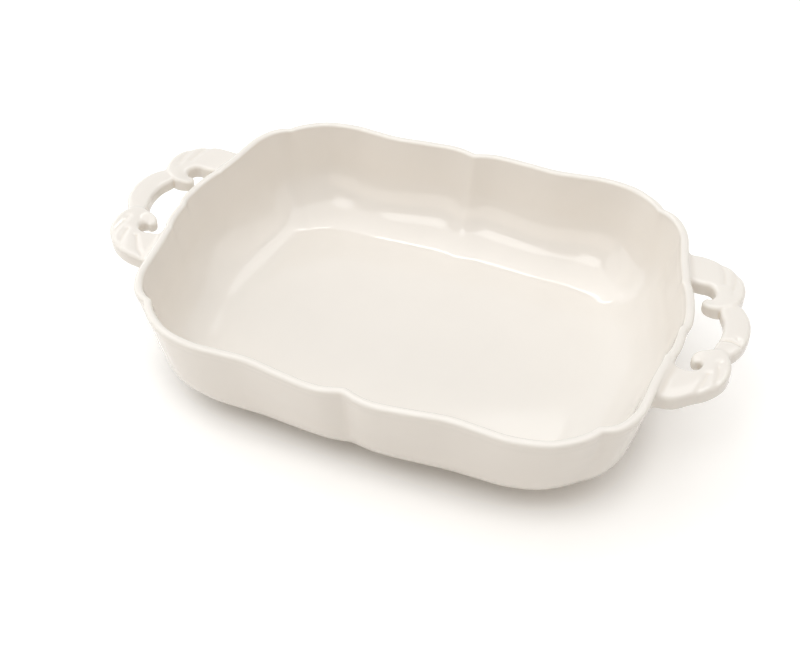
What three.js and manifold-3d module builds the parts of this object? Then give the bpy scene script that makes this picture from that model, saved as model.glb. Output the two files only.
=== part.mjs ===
// Oblong baking dish in cream-glazed stoneware: a lobed basin with a rolled lip, a bare foot ring
// and two openwork scroll handles that are stuck on with slip. Millimetres, +Z up.
// The origin is on the table, under the middle of the dish, with the long way along X.
import * as THREE from 'three';
import { mergeVertices } from 'three/addons/utils/BufferGeometryUtils.js';
import Module from 'manifold-3d';

// Basin, measured at the crest of the lip
const RIM_LENGTH = 350;
const RIM_WIDTH = 254;
const HEIGHT = 78;
const LIP_WIDTH = 7;
const WALL = 5.8;
const FLOOR = 6.5;
const WALL_LEAN = 7;
const OUTER_CORNER_RADIUS = 36;
const INNER_CORNER_RADIUS = 43;
const END_LIFT = 1.05;
const CORNER_LIFT = 0.95;

// Lobes of the outline: creases point inward, bulges outward, valleys are soft
const SIDE_CREASE_DEPTH = 4.4;
const SIDE_BULGE_AT = 21;
const SIDE_VALLEY_AT = 62;
const SIDE_VALLEY_DEPTH = 4.7;
const SHOULDER_FROM_END = 77;
const SHOULDER_DEPTH = 2.8;
const CREASE_FROM_END = 32;
const CREASE_FROM_SIDE = 24.2;
const END_SHOULDER_DEPTH = 12.5;
const END_SHOULDER_FROM_SIDE = 58;
const END_VALLEY_AT = 41;
const END_VALLEY_DEPTH = 7.5;

// The lobes die away towards the floor inside, and less so outside, into an even oblong
const EVEN_FROM_END = 4.5;
const EVEN_FROM_SIDE = 3;
const EVEN_SQUARENESS = 3.9;
const FLOOR_LOBE_SHARE = 0.35;
const BASE_LOBE_SHARE = 0.8;
const FULL_LOBE_SHARE_OF_HEIGHT = 0.55;

// Foot ring of bare clay under the floor: a plain round-cornered oblong
const FOOT_HEIGHT = 2.5;
const FOOT_FROM_END = 50;
const FOOT_FROM_SIDE = 47;
const FOOT_CORNER_RADIUS = 32;
const FOOT_WIDTH = 6;
const FOOT_EDGE = 0.8;

// Handles: distances outward from the end of the lip crest, and sideways from the middle
const HANDLE_REACH = 38;
const HANDLE_THICKNESS = 11.5;
const BOW_THICKNESS = 10;
const BOW_WIDTH = 14.5;
const BOW_NOTCH_AT = 25.5;
const ROOT_INNER_AT = 39;
const ROOT_OUTER_AT = 65;
const HANDLE_EDGE = 1.6;
const HANDLE_DROP = 1.8;
const HANDLE_RISE_ANGLE = 6.5;
const HANDLE_SKEW_ANGLE = 0.4;
const TIE_GROOVE_AT = 12;
const TIE_GROOVE_DEPTH = 1;

// The right handle was pressed a little smaller, more so at the front
const RIGHT_REACH_SHARE = 0.92;
const RIGHT_REACH_SLANT = 0.05;
const RIGHT_SPREAD_SHARE = 0.945;
const RIGHT_SPREAD_SLANT = 0.025;
const RIGHT_SPREAD_FROM = -4;
const RIGHT_SPREAD_TO = 14;

// Slip joints between handle roots and wall
const SLIP_LAYER = 1.2;
const SLIP_OVERLAP = 0.9;
const JOINT_GAP = 0.3;

const wasm = await Module();
wasm.setup();

const rad = THREE.MathUtils.degToRad;
const at = (x, y) => new THREE.Vector2(x, y);
const halfLength = RIM_LENGTH / 2;
const halfWidth = RIM_WIDTH / 2;

// Solids for joining and cutting
function solid(geometry) {
  const bare = geometry.clone();
  bare.deleteAttribute('normal');
  bare.deleteAttribute('uv');
  const welded = mergeVertices(bare, 1e-4);
  return new wasm.Manifold(new wasm.Mesh({
    numProp: 3,
    vertProperties: Float32Array.from(welded.attributes.position.array),
    triVerts: Uint32Array.from(welded.index.array),
  }));
}

function surfaceOf(body) {
  const mesh = body.getMesh();
  const geometry = new THREE.BufferGeometry();
  geometry.setAttribute('position', new THREE.BufferAttribute(Float32Array.from(mesh.vertProperties), 3));
  geometry.setIndex(new THREE.BufferAttribute(Uint32Array.from(mesh.triVerts), 1));
  geometry.computeVertexNormals();
  return geometry;
}

// Half of one long side, from the crease in its middle to the crease in the corner
const cornerCrease = at(halfLength - CREASE_FROM_END, halfWidth - CREASE_FROM_SIDE);
const shoulderX = halfLength - SHOULDER_FROM_END;
const sideCurve = new THREE.SplineCurve([
  at(0, halfWidth - SIDE_CREASE_DEPTH),
  at(SIDE_BULGE_AT * 0.45, halfWidth - SIDE_CREASE_DEPTH * 0.24),
  at(SIDE_BULGE_AT, halfWidth),
  at((SIDE_BULGE_AT + SIDE_VALLEY_AT) / 2, halfWidth - SIDE_VALLEY_DEPTH * 0.45),
  at(SIDE_VALLEY_AT, halfWidth - SIDE_VALLEY_DEPTH),
  at((SIDE_VALLEY_AT + shoulderX) / 2, halfWidth - (SIDE_VALLEY_DEPTH + SHOULDER_DEPTH) / 2),
  at(shoulderX, halfWidth - SHOULDER_DEPTH),
  at(shoulderX + 20, halfWidth - SHOULDER_DEPTH - 3.6),
  at(cornerCrease.x - 11, cornerCrease.y + 9.7),
  cornerCrease,
]);

// One end, from crease to crease
const endShoulder = at(halfLength - END_SHOULDER_DEPTH, halfWidth - END_SHOULDER_FROM_SIDE);
const endHalf = [
  cornerCrease,
  at(cornerCrease.x + 10, cornerCrease.y - 7.8),
  at(cornerCrease.x + 17, cornerCrease.y - 20.8),
  endShoulder,
  at(endShoulder.x + 2, (endShoulder.y + END_VALLEY_AT) / 2),
  at(halfLength - END_VALLEY_DEPTH, END_VALLEY_AT),
  at(halfLength - END_VALLEY_DEPTH / 3, END_VALLEY_AT * 0.54),
];
const endCurve = new THREE.SplineCurve([
  ...endHalf,
  at(halfLength, 0),
  ...endHalf.slice().reverse().map((p) => at(p.x, -p.y)),
]);

// The whole outline, anticlockwise from the middle of the right end, with a vertex in each crease
const SIDE_STEPS = 18;
const END_STEPS = 12;
const quarter = [
  ...endCurve.getSpacedPoints(END_STEPS * 2).slice(0, END_STEPS + 1).reverse(),
  ...sideCurve.getSpacedPoints(SIDE_STEPS).reverse().slice(1),
];
const mirrored = quarter.slice(0, -1).reverse().map((p) => at(-p.x, p.y));
const upper = [...quarter, ...mirrored];
const outline = [...upper, ...upper.slice(1, -1).reverse().map((p) => at(p.x, -p.y))];
const count = outline.length;

// Inward directions, evened out over the creases so that the lobes run down the wall smoothly
let inward = outline.map((p, i) => {
  const before = outline[(i + count - 1) % count];
  const after = outline[(i + 1) % count];
  return at(before.y - after.y, after.x - before.x).normalize();
});
for (let pass = 0; pass < 6; pass += 1) {
  const last = inward;
  inward = last.map((n, i) => {
    const sum = last[(i + count - 1) % count].clone().add(last[(i + 1) % count]);
    return sum.addScaledVector(n, 2).normalize();
  });
}

// Rise and fall of the lip: up at the corners, down in the middle of the long sides
const lift = outline.map((p) => {
  const turn = Math.atan2(p.y / halfWidth, p.x / halfLength);
  return END_LIFT * Math.cos(2 * turn) - CORNER_LIFT * Math.cos(4 * turn);
});

// The even oblong that the lobes die away into
const evenOutline = outline.map((p) => {
  const turn = Math.atan2(p.y / halfWidth, p.x / halfLength);
  const c = Math.cos(turn);
  const s = Math.sin(turn);
  const power = EVEN_SQUARENESS;
  const reach = (Math.abs(c) ** power + Math.abs(s) ** power) ** (-1 / power);
  return at(reach * c * (halfLength - EVEN_FROM_END), reach * s * (halfWidth - EVEN_FROM_SIDE));
});

function ring(inset, z, lowShare) {
  const share = THREE.MathUtils.clamp((z - FOOT_HEIGHT) / (HEIGHT - FOOT_HEIGHT), 0, 1);
  const grown = THREE.MathUtils.smoothstep(share, 0, FULL_LOBE_SHARE_OF_HEIGHT);
  const lobed = THREE.MathUtils.lerp(lowShare, 1, grown);
  return outline.map((p, i) => {
    const spot = evenOutline[i].clone().lerp(p, lobed);
    spot.addScaledVector(inward[i], inset);
    return new THREE.Vector3(spot.x, spot.y, z + lift[i] * share * share);
  });
}

// Skin over a row of rings, with flat lids on the first and last ring or closed on itself
function loft(rings, closed) {
  const position = [];
  const index = [];
  const rows = rings.length;
  rings.forEach((row) => row.forEach((p) => position.push(p.x, p.y, p.z)));
  for (let r = 0; r < (closed ? rows : rows - 1); r += 1) {
    const low = r * count;
    const high = ((r + 1) % rows) * count;
    for (let i = 0; i < count; i += 1) {
      const j = (i + 1) % count;
      index.push(low + i, low + j, high + j, low + i, high + j, high + i);
    }
  }
  if (!closed) {
    const first = position.length / 3;
    position.push(0, 0, rings[0][0].z, 0, 0, rings[rows - 1][0].z);
    const top = (rows - 1) * count;
    for (let i = 0; i < count; i += 1) {
      const j = (i + 1) % count;
      index.push(first, j, i, first + 1, top + i, top + j);
    }
  }
  const geometry = new THREE.BufferGeometry();
  geometry.setAttribute('position', new THREE.Float32BufferAttribute(position, 3));
  geometry.setIndex(index);
  geometry.computeVertexNormals();
  return geometry;
}

// Section of the wall: a leaning side that turns into the level floor through a round corner
const lean = rad(WALL_LEAN);
function wallSection(offset, level, radius, steps) {
  const straight = HEIGHT - level - radius * (1 - Math.sin(lean));
  const turnFrom = radius * Math.cos(lean) + offset + straight * Math.tan(lean);
  const section = [];
  for (let k = 0; k <= steps; k += 1) {
    const angle = (Math.PI / 2 - lean) * (k / steps);
    section.push([turnFrom - radius * Math.sin(angle), level + radius * (1 - Math.cos(angle))]);
  }
  const [inset, z] = section[steps];
  const rise = HEIGHT - LIP_WIDTH - 1 - z;
  section.push([inset - rise * 0.5 * Math.tan(lean), z + rise * 0.5]);
  section.push([inset - rise * Math.tan(lean), z + rise]);
  return section;
}

function lipSection(steps) {
  const half = LIP_WIDTH / 2;
  const section = [];
  for (let k = 0; k <= steps; k += 1) {
    const angle = Math.PI * (k / steps);
    section.push([-half * Math.cos(angle), HEIGHT - half + half * Math.sin(angle)]);
  }
  return section;
}

const outerSection = wallSection(-WALL / 2, FOOT_HEIGHT, OUTER_CORNER_RADIUS, 5);
const innerSection = wallSection(WALL / 2, FOOT_HEIGHT + FLOOR, INNER_CORNER_RADIUS, 5);
const outside = ([inset, z]) => ring(inset, z, BASE_LOBE_SHARE);
const inside = ([inset, z]) => ring(inset, z, FLOOR_LOBE_SHARE);
const basinSurface = loft([
  ...outerSection.map(outside),
  ...lipSection(6).map(outside),
  ...innerSection.slice().reverse().map(inside),
], false);

// The dish as a full block, grown sideways: it trims whatever is stuck to the wall
function block(growth) {
  const sides = [...outerSection, ...lipSection(6).slice(0, 3)];
  const rings = sides.map(([inset, z]) => outside([inset - growth, z]));
  const top = rings[rings.length - 1].map((p) => p.clone().setZ(HEIGHT + 12));
  return solid(loft([...rings, top], false));
}

// Foot ring
function oblong(length, width, radius, path) {
  path.moveTo(length, 0);
  path.absarc(length - radius, width - radius, radius, 0, Math.PI / 2, false);
  path.absarc(radius - length, width - radius, radius, Math.PI / 2, Math.PI, false);
  path.absarc(radius - length, radius - width, radius, Math.PI, Math.PI * 1.5, false);
  path.absarc(length - radius, radius - width, radius, Math.PI * 1.5, Math.PI * 2, false);
  path.closePath();
  return path;
}
const footLength = halfLength - FOOT_FROM_END;
const footBreadth = halfWidth - FOOT_FROM_SIDE;
const footShape = oblong(footLength, footBreadth, FOOT_CORNER_RADIUS, new THREE.Shape());
footShape.holes.push(oblong(
  footLength - FOOT_WIDTH,
  footBreadth - FOOT_WIDTH,
  FOOT_CORNER_RADIUS - FOOT_WIDTH,
  new THREE.Path(),
));
const footSurface = new THREE.ExtrudeGeometry(footShape, {
  depth: FOOT_HEIGHT - 2 * FOOT_EDGE,
  bevelEnabled: true,
  bevelSize: FOOT_EDGE,
  bevelThickness: FOOT_EDGE,
  bevelOffset: -FOOT_EDGE,
  bevelSegments: 1,
  curveSegments: 5,
}).translate(0, 0, FOOT_EDGE);

// Root scroll in plan, for the side y > 0: out from the wall, round, and back to a free volute tip
const out = (u, v) => at(halfLength + u, v);
function rootScroll(grow) {
  const shape = new THREE.Shape();
  shape.moveTo(halfLength - 20, ROOT_OUTER_AT + grow);
  shape.lineTo(halfLength - 6, ROOT_OUTER_AT + grow);
  shape.splineThru([
    out(5, ROOT_OUTER_AT - 0.7),
    out(14.5, ROOT_OUTER_AT - 4),
    out(22, ROOT_OUTER_AT - 9.6),
    out(28, ROOT_OUTER_AT - 17.2),
    out(30.5, ROOT_OUTER_AT - 26),
    out(30.2, BOW_NOTCH_AT + 6),
    out(28.4, BOW_NOTCH_AT),
  ]);
  shape.splineThru([
    out(24.5, BOW_NOTCH_AT - 4.6),
    out(18, BOW_NOTCH_AT - 6.6),
    out(12, BOW_NOTCH_AT - 5.8),
    out(8, BOW_NOTCH_AT - 4),
    out(6, BOW_NOTCH_AT - 0.4),
    out(8, BOW_NOTCH_AT + 3),
    out(11.8, BOW_NOTCH_AT + 2.8),
    out(14.6, BOW_NOTCH_AT + 4.4),
    out(15.6, BOW_NOTCH_AT + 7.8),
    out(13.6, ROOT_INNER_AT - 1.2),
    out(9, ROOT_INNER_AT + 1),
    out(2, ROOT_INNER_AT - grow),
    out(-6, ROOT_INNER_AT - 0.5 - grow),
  ]);
  shape.lineTo(halfLength - 20, ROOT_INNER_AT - 0.5 - grow);
  shape.closePath();
  return shape;
}

// Bow in plan: a bent bar between the two root scrolls, with its ends under them
function bow() {
  const reach = HANDLE_REACH;
  const inner = reach - BOW_WIDTH;
  const edge = [
    out(reach - 12, BOW_NOTCH_AT + 12.5),
    out(reach - 9.6, BOW_NOTCH_AT),
    out(reach - 5.4, BOW_NOTCH_AT - 6),
    out(reach - 1.5, BOW_NOTCH_AT - 14.5),
    out(reach, 0),
  ];
  const back = [
    out(inner, 0),
    out(inner - 0.8, BOW_NOTCH_AT - 17.5),
    out(inner - 3.4, BOW_NOTCH_AT - 9.6),
    out(inner - 5, BOW_NOTCH_AT),
    out(inner - 5.3, BOW_NOTCH_AT + 11),
  ];
  const flip = (points) => points.slice().reverse().map((p) => at(p.x, -p.y));
  const outer = [...edge, ...flip(edge).slice(1)];
  const shape = new THREE.Shape();
  shape.moveTo(outer[0].x, outer[0].y);
  shape.splineThru(outer.slice(1));
  const nearBack = flip(back);
  shape.lineTo(nearBack[0].x, nearBack[0].y);
  shape.splineThru([...nearBack.slice(1), ...back.slice(1)]);
  shape.closePath();
  return shape;
}

// Slab of clay with softened edges, its upper face level with z = 0
function slab(shape, thickness, edge, divisions) {
  const geometry = new THREE.ExtrudeGeometry(shape, {
    depth: thickness - 2 * edge,
    bevelEnabled: true,
    bevelSize: edge,
    bevelThickness: edge,
    bevelOffset: -edge,
    bevelSegments: 2,
    curveSegments: divisions,
  });
  return geometry.translate(0, 0, edge - thickness);
}

function flipped(geometry) {
  const copy = geometry.clone().applyMatrix4(new THREE.Matrix4().makeScale(1, -1, 1));
  const p = copy.attributes.position;
  for (let i = 0; i < p.count; i += 3) {
    const a = new THREE.Vector3().fromBufferAttribute(p, i + 1);
    const b = new THREE.Vector3().fromBufferAttribute(p, i + 2);
    p.setXYZ(i + 1, b.x, b.y, b.z);
    p.setXYZ(i + 2, a.x, a.y, a.z);
  }
  return copy;
}

// From the flat handle to its place on the right end: tilted up outward and turned a little
const place = new THREE.Matrix4()
  .makeRotationZ(rad(HANDLE_SKEW_ANGLE))
  .multiply(new THREE.Matrix4().makeTranslation(halfLength, 0, HEIGHT - HANDLE_DROP))
  .multiply(new THREE.Matrix4().makeRotationY(-rad(HANDLE_RISE_ANGLE)))
  .multiply(new THREE.Matrix4().makeTranslation(-halfLength, 0, 0));
const placed = (geometry) => solid(geometry.applyMatrix4(place));

// The right handle's smaller size, taken off outward of its roots
function pressedSmaller(geometry) {
  const copy = geometry.clone();
  const p = copy.attributes.position;
  for (let i = 0; i < p.count; i += 1) {
    const u = p.getX(i) - halfLength;
    const v = p.getY(i);
    const reach = RIGHT_REACH_SHARE + RIGHT_REACH_SLANT * (v / ROOT_OUTER_AT);
    const spread = RIGHT_SPREAD_SHARE + RIGHT_SPREAD_SLANT * (v / ROOT_OUTER_AT);
    const grown = THREE.MathUtils.smoothstep(u, RIGHT_SPREAD_FROM, RIGHT_SPREAD_TO);
    p.setX(i, halfLength + (u > 0 ? u * reach : u));
    p.setY(i, v * THREE.MathUtils.lerp(1, spread, grown));
  }
  return copy;
}

const scrollSlab = slab(rootScroll(0), HANDLE_THICKNESS, HANDLE_EDGE, 2);
const bowSlab = slab(bow(), BOW_THICKNESS, HANDLE_EDGE, 2);
bowSlab.translate(0, 0, -(HANDLE_THICKNESS - BOW_THICKNESS) / 2);
const groove = new THREE.BoxGeometry(BOW_WIDTH * 2, 1, 1);
groove.rotateX(Math.PI / 4);
groove.scale(1, TIE_GROOVE_DEPTH * Math.SQRT2, TIE_GROOVE_DEPTH * Math.SQRT2);
groove.rotateZ(rad(-12));
groove.translate(
  halfLength + HANDLE_REACH - BOW_WIDTH / 2,
  -TIE_GROOVE_AT,
  -(HANDLE_THICKNESS - BOW_THICKNESS) / 2,
);

const trim = block(JOINT_GAP * 2 + SLIP_LAYER);
function handle(sized) {
  const raw = placed(sized(scrollSlab))
    .add(placed(sized(flipped(scrollSlab))))
    .add(placed(sized(bowSlab)))
    .subtract(placed(sized(groove)));
  return surfaceOf(raw.subtract(trim));
}
const handleSurface = {
  right: handle(pressedSmaller),
  left: handle((geometry) => geometry.clone()),
};

// Slip joint: the layer between a root and the wall, a little wider than the root
const collar = slab(rootScroll(SLIP_OVERLAP), HANDLE_THICKNESS + 2 * SLIP_OVERLAP, HANDLE_EDGE, 2);
collar.translate(0, 0, SLIP_OVERLAP);
const rootZone = new THREE.BoxGeometry(40, 60, 60);
rootZone.translate(halfLength - 15, ROOT_INNER_AT + 28, HEIGHT);
const layer = block(JOINT_GAP + SLIP_LAYER).subtract(block(JOINT_GAP));
const slipBack = placed(collar.clone()).intersect(layer).intersect(solid(rootZone));
const frontZone = solid(rootZone.clone().translate(0, -2 * (ROOT_INNER_AT + 28), 0));
const slipFront = placed(flipped(collar)).intersect(layer).intersect(frontZone);

// Glazed and bare clay
const glaze = () => new THREE.MeshStandardMaterial({ color: 0xf3eee5, roughness: 0.16, metalness: 0 });
const bareClay = () => new THREE.MeshStandardMaterial({ color: 0xe2d3bd, roughness: 0.85, metalness: 0 });

function piece(name, geometry, material) {
  const mesh = new THREE.Mesh(geometry, material);
  mesh.name = name;
  return mesh;
}

const dish = new THREE.Group();
dish.add(piece('basin', basinSurface, glaze()));
dish.add(piece('foot_ring', footSurface, bareClay()));
[['right', 0], ['left', Math.PI]].forEach(([side, turn]) => {
  const end = new THREE.Group();
  end.rotation.z = turn;
  end.add(piece(`handle_${side}`, handleSurface[side], glaze()));
  const [back, front] = turn ? ['front', 'back'] : ['back', 'front'];
  end.add(piece(`slip_joint_${side}_${back}`, surfaceOf(slipBack), glaze()));
  end.add(piece(`slip_joint_${side}_${front}`, surfaceOf(slipFront), glaze()));
  dish.add(end);
});

export default dish;
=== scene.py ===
import math

import bpy
import numpy as np
from mathutils import Matrix


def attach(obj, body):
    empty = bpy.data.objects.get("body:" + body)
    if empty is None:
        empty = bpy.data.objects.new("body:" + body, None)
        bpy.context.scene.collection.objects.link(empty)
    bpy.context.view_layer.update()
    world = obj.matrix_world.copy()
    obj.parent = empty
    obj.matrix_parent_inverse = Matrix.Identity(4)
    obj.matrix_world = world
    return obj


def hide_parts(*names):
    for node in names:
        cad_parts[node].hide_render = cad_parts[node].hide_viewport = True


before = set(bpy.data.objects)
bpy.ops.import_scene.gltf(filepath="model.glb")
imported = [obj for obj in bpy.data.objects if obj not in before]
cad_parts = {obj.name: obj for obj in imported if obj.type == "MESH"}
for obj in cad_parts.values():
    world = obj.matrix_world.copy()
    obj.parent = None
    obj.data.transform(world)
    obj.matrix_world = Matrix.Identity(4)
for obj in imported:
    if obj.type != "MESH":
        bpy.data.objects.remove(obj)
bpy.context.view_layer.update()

MM = 0.001

# Basin, measured at the crest of the lip
RIM_LENGTH = 350
RIM_WIDTH = 254
HEIGHT = 78
LIP_WIDTH = 5.6
LIP_SQUARENESS = 0.8  # 1 is round, less is squarer
LIP_NECK = 1  # the wall stops this far under the lip and runs into it
WALL = 5.6
FLOOR = 6.5
WALL_LEAN = math.radians(7)
OUTER_CORNER_RADIUS = 36
INNER_CORNER_RADIUS = 43
END_LIFT = 1.05
CORNER_LIFT = 0.95
LIP_STEPS = 24
CORNER_STEPS = 24
WALL_STEPS = 12
FLOOR_STEPS = 7

# Lobes of the long sides, from the crease in the middle to the crease at the corner
SIDE_CREASE_DEPTH = 4.4
BULGE_RISE_RUN_SHARE = 0.45
BULGE_RISE_DEPTH_SHARE = 0.24
SIDE_BULGE_AT = 21
VALLEY_FALL_SHARE = 0.45
SIDE_VALLEY_AT = 62
SIDE_VALLEY_DEPTH = 4.7
SHOULDER_FROM_END = 77
SHOULDER_DEPTH = 2.8
SHOULDER_FALL = (20, -3.6)
CREASE_FROM_END = 32
CREASE_FROM_SIDE = 24.2
CREASE_SIDE_RUN = (-11, 9.7)

# Lobes of the short ends, from the crease at the corner to the middle
CREASE_END_RUNS = ((10, -7.8), (17, -20.8))
END_SHOULDER_DEPTH = 12.5
END_SHOULDER_FROM_SIDE = 58
END_SHOULDER_SWELL = 2
END_VALLEY_AT = 41
END_VALLEY_DEPTH = 7.5
END_RISE_SHARE = 0.54

# Points along the outline: steps in a quarter of it, and rounds of evening out
SPLINE_STEPS = 80
SIDE_STEPS = 100
END_STEPS = 68
OUTLINE_ROUNDS = 5
INWARD_ROUNDS = 170

# Pinches in the lip: at the corner creases, and at small creases of the short ends
CREASE_PINCH = 1.8
CREASE_PINCH_REACH = 3.6
# place along the end, depth, reach to the front, reach to the back
END_CREASES = ((-8, 1.9, 12, 2.5), (-35, 1.1, 3, 3), (35, 1.1, 3, 3))
END_CREASE_RUN = 30
# powers of the height by which a pinch fades down the wall
PINCH_FADE_OUTSIDE = 2
PINCH_FADE_INSIDE = 9

# The plainer oblong that the lobes die away into, at the floor inside and at the base outside
EVEN_SQUARENESS = 3.9
FLOOR_FROM_END = 4.5
FLOOR_FROM_SIDE = 3
FLOOR_LOBE_SHARE = 0.35
BASE_FROM_END = 6.8
BASE_FROM_SIDE = 0
BASE_LOBE_SHARE = 0.3
# the base lies a little askew under the rim, as the kiln left it
BASE_SHIFT = (-2.7, -0.3)
BASE_TURN = math.radians(1)
FULL_LOBE_SHARE_OF_HEIGHT = 0.55

# Pooling of the glaze and painted shade in hollows, worked out on the mesh
SHORTEST_EDGE_SQUARED = 0.04
POOL_AND_SHADE_ROUNDS = 4
POOL_AND_SHADE_GAIN = 4

# Foot ring
FOOT_HEIGHT = 2.5
FOOT_FROM_END = 50
FOOT_FROM_SIDE = 47
FOOT_CORNER_RADIUS = 32
FOOT_WIDTH = 6
FOOT_SIDE_SQUARENESS = 0.4
FOOT_FACE_SQUARENESS = 0.5
FOOT_CORNER_STEPS = 24
FOOT_SECTION_STEPS = 32

# Handles: two root scrolls and the bow between them
HANDLE_REACH = 38
HANDLE_THICKNESS = 11.5
BOW_THICKNESS = 10
BOW_WIDTH = 15.8
BOW_NOTCH_AT = 25.5
BOW_SET_DOWN = 0.75
BOW_FILLET = 1.2
VOLUTE_TIP = (8, 27)
TIP_DROP = 2.6
TIP_DROP_REACH = 6.5
ROOT_INNER_AT = 39
ROOT_OUTER_AT = 65
ROOT_BACK_AT = -20
HANDLE_EDGE = 2.5
ROUNDED_OFF = 0.5
# the upper face falls away a little towards its edge
FACE_FALL = 0.6
FACE_FALL_REACH = 4
ROOT_SUNK = 0.45
ROOT_FILLET = 5
ROOT_FILLET_SPARE = 1
ROOT_FILLET_TO = 20
ROOT_DEPTH_IN_WALL = 1.5
CLEAR_OF_WALL_MIDDLE = 0.3
HANDLE_DROP = 1.8
HANDLE_RISE_ANGLE = 6.5
HANDLE_SKEW_ANGLE = 0.4

# Soft grooves in the handles' upper faces: depth, width and a row of points in plan
LEAF_GROOVES = (
    (0.75, 2.2, [(13.2, 62), (16.2, 52), (17.4, 43)]),
    (0.75, 2.2, [(24, 54), (23.8, 43), (23.2, 33)]),
)
OWN_GROOVES = {
    "right": (
        (1.0, 1.2, [(20, -10.7), (24, -11.2), (28, -11.2), (31, -12.2), (36, -14.6)]),
        (0.5, 1.4, [(31, -8.4), (33, -10.8), (36, -14.2)]),
    ),
    "left": ((0.7, 1.6, [(8.4, 46.5), (4.6, 53), (1.4, 58.5), (-4.3, 63.2)]),),
}

# What sets the two pressings apart
TIP_SHIFT = 2.2
TIP_SHIFT_ROOT = (-3, 6)
TIP_SHIFT_BOW = (14, 24)
TIP_SHIFT_SIDE = (34, 54)
RIGHT_TIP_SLANT = 0.8
LEFT_SHIFT = 1.7
RIGHT_REACH_SHARE = 0.92
RIGHT_REACH_SLANT = 0.05
RIGHT_SPREAD_SHARE = 0.945
RIGHT_SPREAD_SLANT = 0.025
RIGHT_SPREAD_FROM = -4
RIGHT_SPREAD_TO = 14

# Working grids of the handles
SCROLL_OUTER_STEPS = 60
SCROLL_TIP_STEPS = 90
BOW_STEPS = 80
BATCH = 8000  # spots worked out at a time, to keep the memory small
TINY = 1e-9  # in place of a zero to divide by
FAR_FROM_FACE = 99  # above the wall, where only the lip counts
FAR_FROM_WALL = 30.0  # beyond the roots, where the wall doesn't count
CHART_LOW, CHART_HIGH = (-21, -72), (43, 72)
CHART_STEP = 0.5
OWN_CHART_STEP = 0.25
LIP_CHART_LOW, LIP_CHART_HIGH = (150, -74), (200, 74)
LIP_CHART_FROM = 100
LIP_CHART_CLOSED_AT = 60
CLAY_LOW, CLAY_HIGH = (-14.0, -71.0, -19.0), (42.0, 71.0, 6.0)
CLAY_STEP = 0.8
SKIN_ROUNDS = 2
PROBE = 0.2  # step to either side in which a slope is measured
LEAST_SLOPE_SQUARED = 0.25  # keeps the pull small where the slope is flat

# Table, room and lamps, with lengths in metres
TABLE_HALF = 6
# the table's glow: from and to, in squared shares of half the rim, and what it gains in between
GLOW_STEPS = ((0.69, 1.12, 0.275), (1.3, 2.2, 0.03), (8, 200, 0.7))
ROOM_LIGHT = 0.25
ROOM_SEEN = 1.0
AIM_HEIGHT = 0.05

half_length = RIM_LENGTH / 2
half_width = RIM_WIDTH / 2


# Plan of the basin
def spline(points, steps):
    """Even steps along the smooth curve through the points."""
    p = np.array(points, float)
    slope = (np.vstack([p[1:], p[-1:]]) - np.vstack([p[:1], p[:-1]])) / 2
    t = np.linspace(0, 1, SPLINE_STEPS)[:, None]
    runs = [
        (2 * t**3 - 3 * t**2 + 1) * a + (t**3 - 2 * t**2 + t) * m
        + (3 * t**2 - 2 * t**3) * b + (t**3 - t**2) * n
        for a, b, m, n in zip(p[:-1], p[1:], slope[:-1], slope[1:])
    ]
    fine = np.vstack(runs)
    along = np.concatenate([[0], np.cumsum(np.linalg.norm(np.diff(fine, axis=0), axis=1))])
    even = np.linspace(0, along[-1], steps + 1)
    return np.column_stack([np.interp(even, along, fine[:, k]) for k in (0, 1)])


def soften(rows, rounds):
    """Evens out a closed row of points or directions."""
    for _ in range(rounds):
        rows = (np.roll(rows, 1, axis=0) + 2 * rows + np.roll(rows, -1, axis=0)) / 4
    return rows


crease = np.array([half_length - CREASE_FROM_END, half_width - CREASE_FROM_SIDE])
shoulder = np.array([half_length - SHOULDER_FROM_END, half_width - SHOULDER_DEPTH])
side_run = spline([
    (0, half_width - SIDE_CREASE_DEPTH),
    (SIDE_BULGE_AT * BULGE_RISE_RUN_SHARE, half_width - SIDE_CREASE_DEPTH * BULGE_RISE_DEPTH_SHARE),
    (SIDE_BULGE_AT, half_width),
    ((SIDE_BULGE_AT + SIDE_VALLEY_AT) / 2, half_width - SIDE_VALLEY_DEPTH * VALLEY_FALL_SHARE),
    (SIDE_VALLEY_AT, half_width - SIDE_VALLEY_DEPTH),
    ((SIDE_VALLEY_AT + shoulder[0]) / 2, half_width - (SIDE_VALLEY_DEPTH + SHOULDER_DEPTH) / 2),
    shoulder,
    shoulder + SHOULDER_FALL,
    crease + CREASE_SIDE_RUN,
    crease,
], SIDE_STEPS)
end_shoulder = np.array([half_length - END_SHOULDER_DEPTH, half_width - END_SHOULDER_FROM_SIDE])
end_half = [
    crease,
    *[crease + run for run in CREASE_END_RUNS],
    end_shoulder,
    (end_shoulder[0] + END_SHOULDER_SWELL, (end_shoulder[1] + END_VALLEY_AT) / 2),
    (half_length - END_VALLEY_DEPTH, END_VALLEY_AT),
    (half_length - END_VALLEY_DEPTH / 3, END_VALLEY_AT * END_RISE_SHARE),
]
end_run = spline(
    [*end_half, (half_length, 0), *[(x, -y) for x, y in reversed(end_half)]], END_STEPS * 2
)
quarter = np.vstack([end_run[: END_STEPS + 1][::-1], side_run[::-1][1:]])
upper = np.vstack([quarter, quarter[:-1][::-1] * (-1, 1)])
outline = soften(np.vstack([upper, upper[1:-1][::-1] * (1, -1)]), OUTLINE_ROUNDS)
around = len(outline)

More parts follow.
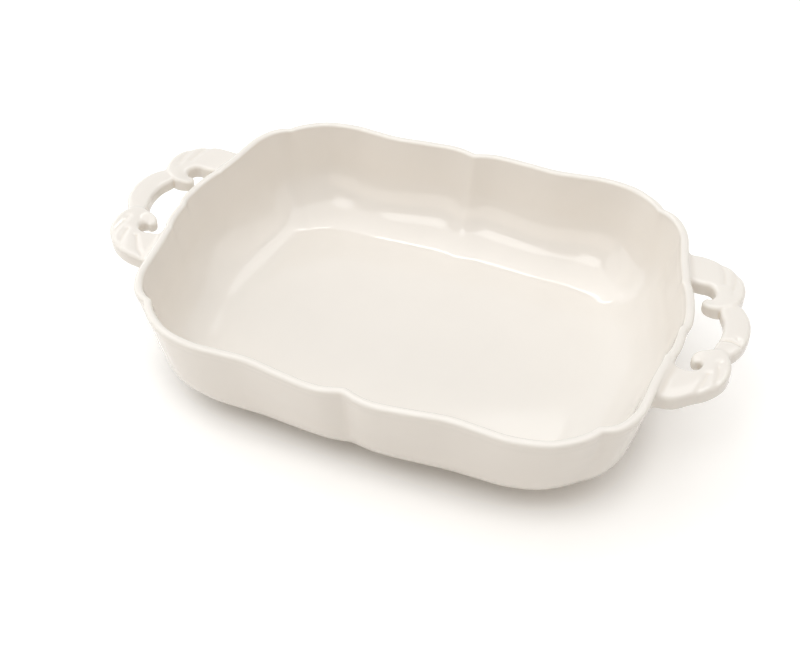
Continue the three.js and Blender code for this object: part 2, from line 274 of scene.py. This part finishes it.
turned = np.roll(outline, -1, axis=0) - np.roll(outline, 1, axis=0)
inward = np.column_stack([-turned[:, 1], turned[:, 0]])
inward /= np.linalg.norm(inward, axis=1)[:, None]
inward = soften(inward, INWARD_ROUNDS)
inward /= np.linalg.norm(inward, axis=1)[:, None]
from_crease = np.linalg.norm(np.abs(outline) - crease, axis=1)
pinch = CREASE_PINCH / (1 + (from_crease / CREASE_PINCH_REACH) ** 2)
on_end = np.abs(outline[:, 0]) > half_length - END_CREASE_RUN
for along, depth, front_reach, back_reach in END_CREASES:
    off = outline[:, 1] - along
    pinch += on_end * depth / (1 + (off / np.where(off < 0, front_reach, back_reach)) ** 2)


def even_oblong(plan, from_end, from_side):
    """The plain oblong that the lobes die away into lower down."""
    turn = np.arctan2(plan[:, 1] / half_width, plan[:, 0] / half_length)
    c, s = np.cos(turn), np.sin(turn)
    reach = (np.abs(c) ** EVEN_SQUARENESS + np.abs(s) ** EVEN_SQUARENESS) ** (-1 / EVEN_SQUARENESS)
    half = np.array([half_length - from_end, half_width - from_side])
    return np.column_stack([reach * c, reach * s]) * half


def lip_lift(plan):
    """Rise and fall of the lip: up at the corners, down in the middle of the long sides."""
    turn = np.arctan2(plan[:, 1] / half_width, plan[:, 0] / half_length)
    return END_LIFT * np.cos(2 * turn) - CORNER_LIFT * np.cos(4 * turn)


floor_plan = even_oblong(outline, FLOOR_FROM_END, FLOOR_FROM_SIDE)
base_plan = even_oblong(outline, BASE_FROM_END, BASE_FROM_SIDE)
base_skew = BASE_SHIFT + BASE_TURN * outline[:, ::-1] * (-1, 1)
lift = lip_lift(outline)


def ring(inset, z, low_plan, low_share, skew):
    """One level of the basin, that far in from the lip's middle line."""
    share = min(max((z - FOOT_HEIGHT) / (HEIGHT - FOOT_HEIGHT), 0), 1)
    t = min(share / FULL_LOBE_SHARE_OF_HEIGHT, 1)
    risen = t * t * (3 - 2 * t)
    lobed = low_share + (1 - low_share) * risen
    drawn_in = inset + pinch * share ** (PINCH_FADE_OUTSIDE if inset < 0 else PINCH_FADE_INSIDE)
    spot = low_plan + (outline - low_plan) * lobed + inward * drawn_in[:, None]
    return np.column_stack([spot + skew * (1 - risen), z + lift * share * share])


def wall_section(offset, level, radius):
    """A leaning side that turns into the level floor through a round corner, from the floor up."""
    lean = WALL_LEAN
    straight = HEIGHT - level - radius * (1 - math.sin(lean))
    turn_from = radius * math.cos(lean) + offset + straight * math.tan(lean)
    angle = np.linspace(0, math.pi / 2 - lean, CORNER_STEPS + 1)
    bend = np.column_stack([
        turn_from - radius * np.sin(angle), level + radius * (1 - np.cos(angle)),
    ])
    inset, z = bend[-1]
    rise = (HEIGHT - LIP_WIDTH - LIP_NECK - z) * np.linspace(0, 1, WALL_STEPS + 1)[1:]
    return np.vstack([bend, np.column_stack([inset - rise * math.tan(lean), z + rise])])


def pool_glaze_and_shade(mesh):
    """Stores at each point how hollow the form is, from -1 on an edge to 1 in a hollow."""
    count = len(mesh.vertices)
    place, normal = np.empty(count * 3), np.empty(count * 3)
    mesh.vertices.foreach_get("co", place)
    mesh.vertex_normals.foreach_get("vector", normal)
    place, normal = place.reshape(-1, 3) / MM, normal.reshape(-1, 3)
    ends = np.empty(len(mesh.edges) * 2, int)
    mesh.edges.foreach_get("vertices", ends)
    a, b = ends.reshape(-1, 2).T
    run = place[b] - place[a]
    square = np.maximum((run**2).sum(axis=1), SHORTEST_EDGE_SQUARED)
    touching = np.bincount(a, minlength=count) + np.bincount(b, minlength=count)
    touching = np.maximum(touching, 1)
    rise = np.bincount(a, (normal[a] * run).sum(axis=1) / square, count)
    rise -= np.bincount(b, (normal[b] * run).sum(axis=1) / square, count)
    hollow = rise / touching
    for _ in range(POOL_AND_SHADE_ROUNDS):
        spread = np.bincount(a, hollow[b], count) + np.bincount(b, hollow[a], count)
        hollow = (hollow + spread / touching) / 2
    # the material darkens the hollows by this, partly as pooled glaze and partly as painted shade
    layer = mesh.attributes.new("pooling_and_shade", "FLOAT", "POINT")
    layer.data.foreach_set("value", np.clip(hollow * POOL_AND_SHADE_GAIN, -1, 1).astype(np.float32))


def made_piece(name, points, faces, material, slot, *nodes):
    """A smooth mesh from points in millimetres, riding with the dish in place of its CAD nodes."""
    mesh = bpy.data.meshes.new(name)
    mesh.from_pydata((np.asarray(points) * MM).tolist(), [], [list(map(int, f)) for f in faces])
    mesh.validate()
    mesh.shade_smooth()
    mesh.materials.append(material)
    pool_glaze_and_shade(mesh)
    piece = bpy.data.objects.new(name, mesh)
    bpy.context.scene.collection.objects.link(piece)
    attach(piece, "root")
    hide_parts(*nodes)


def skinned(rings, closed):
    """Points and faces of a skin over rows of rings."""
    rows, length = len(rings), len(rings[0])
    i = np.arange(length)
    j = (i + 1) % length
    faces = []
    for r in range(rows if closed else rows - 1):
        low, high = r * length, ((r + 1) % rows) * length
        faces.append(np.column_stack([low + i, low + j, high + j, high + i]))
    return np.vstack(rings), np.vstack(faces)


def shrinking_floor(edge):
    """Rings from the edge of a level floor in to near its middle."""
    shares = [1 - k / FLOOR_STEPS for k in range(1, FLOOR_STEPS)]
    return [edge * (share, share, 1) for share in shares]


# Materials
def linear(code):
    """Linear colour from an sRGB hex value."""
    parts = [int(code[i:i + 2], 16) / 255 for i in (1, 3, 5)]
    return (*[p / 12.92 if p <= 0.04045 else ((p + 0.055) / 1.055) ** 2.4 for p in parts], 1)


def add(tree, kind, settings, **links):
    """Adds a node with its settings and links; an input goes by its name or its number."""
    node = tree.nodes.new(kind)
    sockets = {}
    for name, value in settings.items():
        if isinstance(name, int) or name in node.inputs:
            sockets[name] = value
        else:
            setattr(node, name, value)
    for name, value in sockets.items():
        node.inputs[name].default_value = value
    for name, source in links.items():
        key = int(name[1:]) if name[1:].isdigit() else name.replace("_", " ")
        tree.links.new(source, node.inputs[key])
    return node


def per_metre(mm):
    """Pattern scale for features of that many millimetres."""
    return 1 / (mm * MM)


def cream_glazed_stoneware():
    # Stoneware dipped in a cream glaze and fired glossy: an even warm ivory with a wet shine, a
    # little deeper in creases and hollows, partly where the glaze pooled and partly painted shade,
    # paler where it ran thin over the edges, and a faint unevenness of the skin that makes long
    # highlights waver.
    m = bpy.data.materials.new("cream_glazed_stoneware")
    m.use_nodes = True
    t = m.node_tree
    shader = t.nodes["Principled BSDF"]
    shader.inputs["IOR"].default_value = 1.52
    spot = add(t, "ShaderNodeTexCoord", {}).outputs["Object"]
    # clouding of the glaze, in patches of about 35 mm
    cloud = add(t, "ShaderNodeTexNoise", {"Scale": per_metre(35), "Detail": 3.0}, Vector=spot)
    ivory = add(
        t, "ShaderNodeMix", {"data_type": "RGBA", 6: linear("#F0EBE4"), 7: linear("#ECE7E0")},
        Factor=cloud.outputs[0],
    )
    # pooling and painted shade come from the mesh: 1 in a hollow, -1 on an edge
    pooling_and_shade = add(t, "ShaderNodeAttribute", {"attribute_name": "pooling_and_shade"}).outputs["Fac"]
    hollow = add(
        t, "ShaderNodeMapRange", {"From Min": 0.06, "From Max": 0.9, "To Max": 0.55}, Value=pooling_and_shade
    )
    # painted shade and pooled glaze: darker in the hollows and creases
    pooled_and_shaded = add(
        t, "ShaderNodeMix", {"data_type": "RGBA", 7: linear("#D9CAB4")},
        Factor=hollow.outputs[0], _6=ivory.outputs[2],
    )
    edge = add(
        t, "ShaderNodeMapRange", {"From Min": -0.1, "From Max": -0.6, "To Max": 0.6}, Value=pooling_and_shade
    )
    thin = add(
        t, "ShaderNodeMix", {"data_type": "RGBA", 7: linear("#F4F1EA")},
        Factor=edge.outputs[0], _6=pooled_and_shaded.outputs[2],
    )
    t.links.new(thin.outputs[2], shader.inputs["Base Color"])
    # the shine varies a little in patches of about 12 mm
    patch = add(t, "ShaderNodeTexNoise", {"Scale": per_metre(12), "Detail": 2.0}, Vector=spot)
    shine = add(t, "ShaderNodeMapRange", {"To Min": 0.05, "To Max": 0.10}, Value=patch.outputs[0])
    t.links.new(shine.outputs[0], shader.inputs["Roughness"])
    # the skin: slow swells of about 20 mm, and an orange peel that is really about 1 mm, drawn at
    # 3 mm so that it shows
    swell = add(t, "ShaderNodeTexNoise", {"Scale": per_metre(20), "Detail": 1.0}, Vector=spot)
    slow = add(
        t, "ShaderNodeBump", {"Strength": 0.5, "Distance": 0.1 * MM}, Height=swell.outputs[0]
    )
    peel = add(t, "ShaderNodeTexNoise", {"Scale": per_metre(3), "Detail": 1.0}, Vector=spot)
    fine = add(
        t, "ShaderNodeBump", {"Strength": 0.3, "Distance": 0.02 * MM},
        Height=peel.outputs[0], Normal=slow.outputs[0],
    )
    t.links.new(fine.outputs[0], shader.inputs["Normal"])
    return m


def bare_fired_clay():
    # Stoneware body wiped clean of glaze before firing: matt, sandy and a little toasted, with dark
    # specks of grit.
    m = bpy.data.materials.new("bare_fired_clay")
    m.use_nodes = True
    t = m.node_tree
    shader = t.nodes["Principled BSDF"]
    shader.inputs["Roughness"].default_value = 0.82
    shader.inputs["IOR"].default_value = 1.5
    spot = add(t, "ShaderNodeTexCoord", {}).outputs["Object"]
    # toasting, in patches of about 25 mm
    toast = add(t, "ShaderNodeTexNoise", {"Scale": per_metre(25), "Detail": 3.0}, Vector=spot)
    body = add(
        t, "ShaderNodeMix", {"data_type": "RGBA", 6: linear("#E3D5BF"), 7: linear("#CDB696")},
        Factor=toast.outputs[0],
    )
    # specks of grit about 0.8 mm across, one in every 2.4 mm, larger than real so that they show
    grit = add(t, "ShaderNodeTexVoronoi", {"Scale": per_metre(2.4)}, Vector=spot)
    speck = add(
        t, "ShaderNodeMapRange", {"From Min": 0.26, "From Max": 0.14, "To Max": 0.55},
        Value=grit.outputs["Distance"],
    )
    dotted = add(
        t, "ShaderNodeMix", {"data_type": "RGBA", 7: linear("#8E7355")},
        Factor=speck.outputs[0], _6=body.outputs[2],
    )
    t.links.new(dotted.outputs[2], shader.inputs["Base Color"])
    # sandy grain of about 0.7 mm, a little coarser than real so that it shows
    sand = add(t, "ShaderNodeTexNoise", {"Scale": per_metre(0.7), "Detail": 2.0}, Vector=spot)
    rough = add(
        t, "ShaderNodeBump", {"Strength": 0.6, "Distance": 0.12 * MM}, Height=sand.outputs[0]
    )
    t.links.new(rough.outputs[0], shader.inputs["Normal"])
    return m


glaze = cream_glazed_stoneware()
clay = bare_fired_clay()

# Basin: outside from the foot up, over the round lip, and down the inside to the floor
half_lip = LIP_WIDTH / 2
bead = np.linspace(0, math.pi, LIP_STEPS + 1)
bead_across = np.sign(np.cos(bead)) * np.abs(np.cos(bead)) ** LIP_SQUARENESS
lip_section = half_lip * np.column_stack([-bead_across, np.abs(np.sin(bead)) ** LIP_SQUARENESS - 1])
lip_section = lip_section + (0, HEIGHT)
outer_section = wall_section(-WALL / 2, FOOT_HEIGHT, OUTER_CORNER_RADIUS)
inner_section = wall_section(WALL / 2, FOOT_HEIGHT + FLOOR, INNER_CORNER_RADIUS)
rings = [
    ring(inset, z, base_plan, BASE_LOBE_SHARE, base_skew)
    for inset, z in np.vstack([outer_section, lip_section])
]
rings += [ring(inset, z, floor_plan, FLOOR_LOBE_SHARE, 0) for inset, z in inner_section[::-1]]
base_rings = shrinking_floor(rings[0])[::-1]
floor_rings = shrinking_floor(rings[-1])
points, faces = skinned([*base_rings, *rings, *floor_rings], False)
last = len(points) - around
lids = [list(range(around))[::-1], list(range(last, last + around))]
made_piece("basin_glazed", points, [*faces.tolist(), *lids], glaze, "cream_glaze", "basin")


# Foot ring: a plain round-cornered oblong of bare clay
def oblong(length, width, radius, z):
    """A round-cornered oblong at one level, the same number of points at any size."""
    angle = np.linspace(0, math.pi / 2, FOOT_CORNER_STEPS + 1)
    arc = np.column_stack([np.cos(angle), np.sin(angle)]) * radius
    corner = arc + (length - radius, width - radius)
    half = np.vstack([corner, corner[::-1] * (-1, 1)])
    plan = np.vstack([half, -half])
    return np.column_stack([plan, np.full(len(plan), z)])


foot_length = half_length - FOOT_FROM_END
foot_breadth = half_width - FOOT_FROM_SIDE
foot_turn = np.linspace(0, 2 * math.pi, FOOT_SECTION_STEPS + 1)[:-1]
foot_rings = []
for a in foot_turn:
    # an oblong section with round edges, from the outer side round under the foot
    c, s = math.cos(a), math.sin(a)
    across = FOOT_WIDTH / 2 * math.copysign(abs(c) ** FOOT_SIDE_SQUARENESS, c)
    z = FOOT_HEIGHT / 2 * (1 + math.copysign(abs(s) ** FOOT_FACE_SQUARENESS, s))
    grow = across - FOOT_WIDTH / 2
    foot_rings.append(oblong(foot_length + grow, foot_breadth + grow, FOOT_CORNER_RADIUS + grow, z))
points, faces = skinned(foot_rings, True)
made_piece("foot_ring_bare", points, faces, clay, "bare_clay", "foot_ring")


# Handles, worked as fields of distance: negative in the clay, positive in the air
def plan_distance(spots, border):
    """Distance from a closed border in plan, negative inside it."""
    a = border
    b = np.roll(border, -1, axis=0)
    run = b - a
    square = (run**2).sum(axis=1)
    result = np.empty(len(spots))
    for start in range(0, len(spots), BATCH):
        p = spots[start:start + BATCH, None, :]
        t = np.clip(((p - a) * run).sum(axis=2) / square, 0, 1)
        near = np.sqrt((((a + t[..., None] * run) - p) ** 2).sum(axis=2).min(axis=1))
        above = (a[:, 1] > p[..., 1]) != (b[:, 1] > p[..., 1])
        rise = np.where(run[:, 1] == 0, TINY, run[:, 1])
        crossing = p[..., 0] < a[:, 0] + (p[..., 1] - a[:, 1]) / rise * run[:, 0]
        odd = (above & crossing).sum(axis=1) % 2 == 1
        result[start:start + BATCH] = np.where(odd, -near, near)
    return result


def root_scroll():
    """Root scroll in plan: out from the wall, round, and back to a free volute tip."""
    r_in, r_out, notch = ROOT_INNER_AT, ROOT_OUTER_AT, BOW_NOTCH_AT
    outer = spline([
        (-6, r_out), (5, r_out - 0.7), (14.5, r_out - 4), (22, r_out - 9.6), (28, r_out - 17.2),
        (30.5, r_out - 26), (30.2, notch + 6), (28.4, notch),
    ], SCROLL_OUTER_STEPS)
    tip = spline([
        (28.4, notch), (24.5, notch - 4.6), (18, notch - 6.6), (12, notch - 5.8), (8, notch - 4),
        (6, notch - 0.4), (7.8, notch + 3.2), (10.8, notch + 3.2), (12.8, notch + 4.8),
        (13.4, notch + 7.8), (11.6, r_in - 1.6), (7.6, r_in + 0.4), (2, r_in), (-6, r_in - 0.5),
    ], SCROLL_TIP_STEPS)
    return np.vstack([[(ROOT_BACK_AT, r_out)], outer, tip[1:], [(ROOT_BACK_AT, r_in - 0.5)]])


def flipped(row):
    """The row's other half, mirrored and run the other way."""
    return [(u, -v) for u, v in reversed(row)]


def bow():
    """Bow in plan: a bent bar between the two root scrolls, with its ends under them."""
    reach, inner, notch = HANDLE_REACH, HANDLE_REACH - BOW_WIDTH, BOW_NOTCH_AT
    edge = [
        (reach - 12, notch + 12.5), (reach - 9.6, notch), (reach - 5.4, notch - 6),
        (reach - 1.5, notch - 14.5), (reach, 0),
    ]
    back = [
        (inner, 0), (inner - 0.8, notch - 17.5), (inner - 3.4, notch - 9.6), (inner - 5, notch),
        (inner - 5.3, notch + 11),
    ]
    return np.vstack([
        spline([*edge, *flipped(edge)[1:]], BOW_STEPS),
        spline([*flipped(back), *back[1:]], BOW_STEPS),
    ])


def slab(flat, over, under, edge):
    """A slab with round edges, from its distance in plan and from its two faces."""
    a = flat + edge
    b = np.maximum(over, under) + edge
    return np.minimum(np.maximum(a, b), 0) + np.hypot(np.maximum(a, 0), np.maximum(b, 0)) - edge


def merged(a, b, width):
    """Two forms run into each other with a soft fillet."""
    h = np.clip(0.5 + 0.5 * (b - a) / width, 0, 1)
    return b + (a - b) * h - width * h * (1 - h)


def row_distance(spots, row):
    """Distance from an open row of points in plan."""
    best = np.full(len(spots), np.inf)
    for a, b in zip(row[:-1], row[1:]):
        a, run = np.array(a), np.subtract(b, a)
        t = np.clip(((spots - a) @ run) / (run @ run), 0, 1)
        best = np.minimum(best, np.linalg.norm(a + t[:, None] * run - spots, axis=1))
    return best


def chart(measure, low, high, step):
    """Works out a measure once on an even grid in plan; returns a function that reads it off."""
    low = np.array(low, float)
    size = np.ceil((np.array(high) - low) / step).astype(int) + 1
    grid = np.stack(np.meshgrid(*[np.arange(n) for n in size], indexing="ij"), axis=-1)
    known = measure(grid.reshape(-1, 2) * step + low).reshape(size)

    def read(spots):
        # just inside the last cell, so that it has a further corner to read
        place = np.clip((spots - low) / step, 0, size - 1.001)
        i = place.astype(int)
        a, b = (place - i).T
        x, y = i.T
        return (
            known[x, y] * (1 - a) * (1 - b) + known[x + 1, y] * a * (1 - b)
            + known[x, y + 1] * (1 - a) * b + known[x + 1, y + 1] * a * b
        )

    return read


def sunk(plan, grooves):
    """How far the grooves lie under the face."""
    return sum(
        depth * np.exp(-((row_distance(plan, row) / width) ** 2)) for depth, width, row in grooves
    )


def handle_chart(measure, step):
    """A chart over the whole handle."""
    return chart(measure, CHART_LOW, CHART_HIGH, step)


# how a handle hangs on the right end: just under the crest of the lip, rising, a little askew
rise = math.radians(HANDLE_RISE_ANGLE)
hang = np.array(
    Matrix.Rotation(math.radians(HANDLE_SKEW_ANGLE), 4, "Z")
    @ Matrix.Translation((half_length, 0, HEIGHT - HANDLE_DROP))
    @ Matrix.Rotation(-rise, 4, "Y")
)

scroll_border = root_scroll()
bow_border = bow()
scroll_plan = handle_chart(lambda p: plan_distance(p, scroll_border), CHART_STEP)
bow_plan = handle_chart(lambda p: plan_distance(p, bow_border), CHART_STEP)
leaf_plan = handle_chart(lambda p: sunk(p, LEAF_GROOVES), CHART_STEP)

# the lip's middle line round one end, every second point, closed through the dish
end_part = outline[outline[:, 0] > LIP_CHART_FROM]
end_part = end_part[np.argsort(np.arctan2(end_part[:, 1], end_part[:, 0]))][::2]
closing = [(LIP_CHART_CLOSED_AT, end_part[k, 1]) for k in (-1, 0)]
end_border = np.vstack([end_part, closing])
lip_plan = chart(
    lambda p: plan_distance(p, end_border), LIP_CHART_LOW, LIP_CHART_HIGH, CHART_STEP
)


def wall_distance(world):
    """Distances outward from the middle of the wall and from the outside of the wall and lip."""
    flat = lip_plan(world[:, :2])
    z = world[:, 2] - lip_lift(world[:, :2])
    middle = flat + (HEIGHT - z) * math.tan(WALL_LEAN)
    crest = np.hypot(flat, z - (HEIGHT - half_lip)) - half_lip
    face = (middle - WALL / 2) * math.cos(WALL_LEAN)
    return middle, np.minimum(np.where(z < HEIGHT - half_lip, face, FAR_FROM_FACE), crest)


def face_fall(flat):
    """How far the upper face lies lower near its edge."""
    return FACE_FALL * np.exp(np.minimum(flat, 0) / FACE_FALL_REACH)


def clay_distance(spots, own_grooves):
    """The whole handle: two root scrolls over the ends of a bow, filleted to the wall."""
    plan, w = spots[:, :2], spots[:, 2]
    marked = own_grooves(plan)
    whole = None
    for side in (plan, plan * (1, -1)):
        flat = scroll_plan(side) - ROUNDED_OFF
        from_tip = np.linalg.norm(side - VOLUTE_TIP, axis=1)
        sink = face_fall(flat) + leaf_plan(side) + marked
        sink = sink + TIP_DROP * np.exp(-((from_tip / TIP_DROP_REACH) ** 2))
        form = slab(flat, w + sink, -HANDLE_THICKNESS - w, HANDLE_EDGE)
        whole = form if whole is None else np.minimum(whole, form)
    flat = bow_plan(plan) - ROUNDED_OFF
    sink = BOW_SET_DOWN + face_fall(flat) + marked
    form = slab(flat, w + sink, -BOW_THICKNESS - BOW_SET_DOWN - w, HANDLE_EDGE)
    whole = merged(whole, form, BOW_FILLET)
    world = spots @ hang[:3, :3].T + hang[:3, 3]
    middle, wall = wall_distance(world)
    wall = np.where(spots[:, 0] < ROOT_FILLET_TO, wall, FAR_FROM_WALL)
    rooted = merged(whole, wall + ROOT_SUNK, ROOT_FILLET)
    limits = (
        -ROOT_DEPTH_IN_WALL - wall,
        CLEAR_OF_WALL_MIDDLE - middle,
        whole - ROOT_FILLET - ROOT_FILLET_SPARE,
    )
    return np.max([rooted, *limits], axis=0)


def skin(field, low, step):
    """Points and quads on the zero surface of distances sampled on an even grid."""
    cells = np.array(field.shape) - 1
    total, hits, cuts = np.zeros((*cells, 3)), np.zeros(cells), []
    for axis in range(3):
        near, far = [slice(None)] * 3, [slice(None)] * 3
        near[axis], far[axis] = slice(0, -1), slice(1, None)
        f0, f1 = field[tuple(near)], field[tuple(far)]
        cross = (f0 < 0) != (f1 < 0)
        share = np.where(cross, f0 / np.where(cross, f0 - f1, 1), 0)
        a, b = [k for k in range(3) if k != axis]
        cuts.append((axis, a, b, cross, f0))
        for da in (0, 1):
            for db in (0, 1):
                cut = [slice(None)] * 3
                cut[a], cut[b] = slice(da, da + cells[a]), slice(db, db + cells[b])
                c = cross[tuple(cut)]
                total[..., axis] += share[tuple(cut)]
                total[..., a] += c * da
                total[..., b] += c * db
                hits += c
    on = hits > 0
    number = np.full(tuple(cells), -1)
    number[on] = np.arange(on.sum())
    spots = (np.argwhere(on) + total[on] / hits[on][:, None]) * step + low
    faces = []
    for axis, a, b, cross, f0 in cuts:
        inner = [slice(None)] * 3
        inner[a] = inner[b] = slice(1, -1)
        where = np.argwhere(cross[tuple(inner)])
        where[:, a] += 1
        where[:, b] += 1
        ea, eb = np.eye(3, dtype=int)[a], np.eye(3, dtype=int)[b]
        quad = np.column_stack([
            number[tuple((where - d).T)] for d in (ea + eb, eb, 0 * ea, ea)
        ])
        leaves = (f0[tuple(where.T)] < 0) != (axis == 1)
        faces.append(np.where(leaves[:, None], quad, quad[:, ::-1]))
    return spots, np.vstack(faces)


def eased(value, start, end):
    """Runs smoothly from 0 at the start to 1 at the end."""
    t = np.clip((value - start) / (end - start), 0, 1)
    return t * t * (3 - 2 * t)


def hand_shaped(side, spots):
    """Sets the pressings apart: the right one smaller, the left one longer, tips to the front."""
    u, v, w = spots.T
    at_tips = eased(u, *TIP_SHIFT_ROOT) * (1 - eased(u, *TIP_SHIFT_BOW))
    at_tips *= 1 - eased(np.abs(v), *TIP_SHIFT_SIDE)
    if side == "left":
        further = u + LEFT_SHIFT * eased(u, *TIP_SHIFT_ROOT)
        return np.column_stack([further, v + TIP_SHIFT * at_tips, w])
    v = v - TIP_SHIFT * (1 - RIGHT_TIP_SLANT * v / ROOT_OUTER_AT) * at_tips
    grown = eased(u, RIGHT_SPREAD_FROM, RIGHT_SPREAD_TO)
    reach = RIGHT_REACH_SHARE + RIGHT_REACH_SLANT * v / ROOT_OUTER_AT
    spread = RIGHT_SPREAD_SHARE + RIGHT_SPREAD_SLANT * v / ROOT_OUTER_AT
    return np.column_stack([np.where(u > 0, u * reach, u), v * (1 + (spread - 1) * grown), w])


def handle_skin(side):
    """Points and faces of a handle with the grooves of its own side."""
    own = handle_chart(lambda p: sunk(p, OWN_GROOVES[side]), OWN_CHART_STEP)
    axes = [np.arange(a, b + CLAY_STEP, CLAY_STEP) for a, b in zip(CLAY_LOW, CLAY_HIGH)]
    grid = np.stack(np.meshgrid(*axes, indexing="ij"), axis=-1)
    field = clay_distance(grid.reshape(-1, 3), own).reshape(grid.shape[:3])
    spots, quads = skin(field, CLAY_LOW, CLAY_STEP)
    for _ in range(SKIN_ROUNDS):
        # drawn onto the exact surface
        value = clay_distance(spots, own)
        slope = np.column_stack([
            clay_distance(spots + probe, own) - clay_distance(spots - probe, own)
            for probe in np.eye(3) * PROBE
        ]) / (2 * PROBE)
        steepness = np.maximum((slope**2).sum(axis=1), LEAST_SLOPE_SQUARED)
        pull = np.clip(value / steepness, -CLAY_STEP, CLAY_STEP)
        spots = spots - slope * pull[:, None]
    return spots, quads


for side, way in (("right", 1), ("left", -1)):
    spots, quads = handle_skin(side)
    placed = (hand_shaped(side, spots) @ hang[:3, :3].T + hang[:3, 3]) * (way, way, 1)
    made_piece(
        f"handle_{side}_glazed", placed, quads, glaze, "cream_glaze",
        f"handle_{side}", f"slip_joint_{side}_front", f"slip_joint_{side}_back",
    )


# Table: a wide white sheet that runs out of the picture and keeps the dish's shadow
def seen_directly(t):
    """1 for rays from the camera, from a mirror or through glass, 0 for those that carry light."""
    path = add(t, "ShaderNodeLightPath", {}).outputs
    mirrored = add(
        t, "ShaderNodeMath", {"operation": "MAXIMUM"},
        _0=path["Is Glossy Ray"], _1=path["Is Transmission Ray"],
    )
    seen = add(
        t, "ShaderNodeMath", {"operation": "MAXIMUM"},
        _0=path["Is Camera Ray"], _1=mirrored.outputs[0],
    )
    return seen.outputs[0]


def white_table_paint():
    # Matt white paint. A glow towards the camera, mirrors and glass brings the open table to white;
    # the glow is painted light, graded with the distance from the dish: there is none close under
    # the wall, so the shadow there stays deep, and it rises further out, most where the lamps no
    # longer reach.
    m = bpy.data.materials.new("white_table_paint")
    m.use_nodes = True
    t = m.node_tree
    t.nodes.clear()
    matt = add(t, "ShaderNodeBsdfDiffuse", {"Color": linear("#F2F1EF")}).outputs[0]
    spot = add(t, "ShaderNodeTexCoord", {}).outputs["Object"]
    half_rim = (half_length * MM, half_width * MM, 1)
    share = add(t, "ShaderNodeVectorMath", {"operation": "DIVIDE", 1: half_rim}, _0=spot).outputs[0]
    square = add(
        t, "ShaderNodeVectorMath", {"operation": "MULTIPLY"}, _0=share, _1=share
    ).outputs[0]
    # about 1 along the rim, the square of the distance further out
    reach = add(t, "ShaderNodeVectorMath", {"operation": "LENGTH"}, _0=square).outputs["Value"]
    level = None
    for start, end, gain in GLOW_STEPS:
        run = {"From Min": start, "From Max": end, "To Max": gain}
        step = add(
            t, "ShaderNodeMapRange", {"interpolation_type": "SMOOTHSTEP", **run}, Value=reach
        ).outputs[0]
        if level is not None:
            step = add(t, "ShaderNodeMath", {"operation": "ADD"}, _0=level, _1=step).outputs[0]
        level = step
    glow = add(t, "ShaderNodeMath", {"operation": "MULTIPLY"}, _0=level, _1=seen_directly(t))
    lit = add(t, "ShaderNodeEmission", {}, Strength=glow.outputs[0])
    both = add(t, "ShaderNodeAddShader", {}, _0=matt, _1=lit.outputs[0])
    add(t, "ShaderNodeOutputMaterial", {}, Surface=both.outputs[0])
    return m


corners = [(x * TABLE_HALF, y * TABLE_HALF, 0) for x, y in ((-1, -1), (1, -1), (1, 1), (-1, 1))]
table_mesh = bpy.data.meshes.new("white_table")
table_mesh.from_pydata(corners, [], [(0, 1, 2, 3)])
table_mesh.materials.append(white_table_paint())
table = bpy.data.objects.new("white_table", table_mesh)
bpy.context.scene.collection.objects.link(table)

# Light: a pale room, wide softboxes for the form, and two small ones that draw the highlights
world = bpy.data.worlds.new("white_room")
bpy.context.scene.world = world
world.use_nodes = True
t = world.node_tree
t.nodes.clear()
strength = add(
    t, "ShaderNodeMapRange", {"To Min": ROOM_LIGHT, "To Max": ROOM_SEEN}, Value=seen_directly(t)
)
room = add(t, "ShaderNodeBackground", {"Color": (1, 1, 1, 1)}, Strength=strength.outputs[0])
add(t, "ShaderNodeOutputWorld", {}, Surface=room.outputs[0])


def soft_box(name, toward, distance, wide, tall, watts, tint="#FFFFFF"):
    """A softbox that looks at the dish from that direction, with lengths in metres."""
    lamp = bpy.data.lights.new(name, "AREA")
    lamp.shape = "RECTANGLE"
    lamp.size, lamp.size_y = wide, tall
    lamp.energy = watts
    lamp.color = linear(tint)[:3]
    holder = bpy.data.objects.new(name, lamp)
    bpy.context.scene.collection.objects.link(holder)
    way = np.array(toward, float) / np.linalg.norm(toward)
    side = np.cross((0, 0, 1), way)
    side /= np.linalg.norm(side)
    rise = np.cross(way, side)
    spot = way * distance + (0, 0, AIM_HEIGHT)
    rows = [[*row, at] for row, at in zip(zip(side, rise, way), spot)]
    holder.matrix_world = Matrix(rows + [[0, 0, 0, 1]])


soft_box("over_box", (-0.05, 0.1, 1), 1.7, 2.0, 2.0, 19.1, "#FCFEFF")
soft_box("left_box", (-0.85, 0, 0.52), 2.0, 2.6, 1.9, 14.8)
soft_box("right_box", (0.85, 0.1, 0.52), 2.0, 2.6, 1.9, 9.2, "#FFF2E4")
soft_box("front_box", (-0.2, -0.9, 0.38), 2.0, 2.2, 1.05, 7.2, "#FFEFDD")
soft_box("floor_line_box", (-0.19, 0.52, 0.84), 1.8, 0.55, 0.12, 1.0)
soft_box("wall_line_box", (-0.2, -0.42, 0.88), 2.0, 0.55, 0.55, 1.8)

# Camera at the photograph's angle
camera = bpy.data.cameras.new("photo_camera")
camera.sensor_fit = "HORIZONTAL"
camera.sensor_width = 36
camera.lens = 39.14
holder = bpy.data.objects.new("photo_camera", camera)
bpy.context.scene.collection.objects.link(holder)
holder.matrix_world = Matrix([
    [0.93384, -0.25161, 0.25425, 0.14544],
    [0.35766, 0.66563, -0.65502, -0.40842],
    [-0.00443, 0.70263, 0.71156, 0.45227],
    [0, 0, 0, 1],
])
bpy.context.scene.camera = holder
bpy.context.scene.view_settings.view_transform = "Standard"
